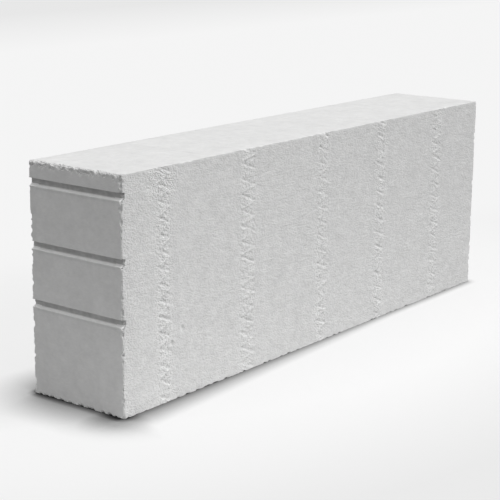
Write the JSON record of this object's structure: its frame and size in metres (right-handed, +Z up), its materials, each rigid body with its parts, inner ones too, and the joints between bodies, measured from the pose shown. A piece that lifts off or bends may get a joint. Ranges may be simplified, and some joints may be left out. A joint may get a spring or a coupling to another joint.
{
  "type": "aerated concrete block",
  "caption": "Solid oblong aerated concrete wall block, flat on its beds and faces, with level keying grooves across one end.",
  "frame": {"origin": "middle of the lower bed face", "axes": "+X along the length, away from the grooved end; +Y through the thickness; +Z up, from the lower bed to the upper bed"},
  "size_m": [0.6, 0.11, 0.215],
  "materials": {
    "aerated_concrete": "matt, pale grey, fine pores and cutting marks"
  },
  "bodies": {
    "root": {"aerated_block": "aerated_concrete"}
  },
  "joints": []
}
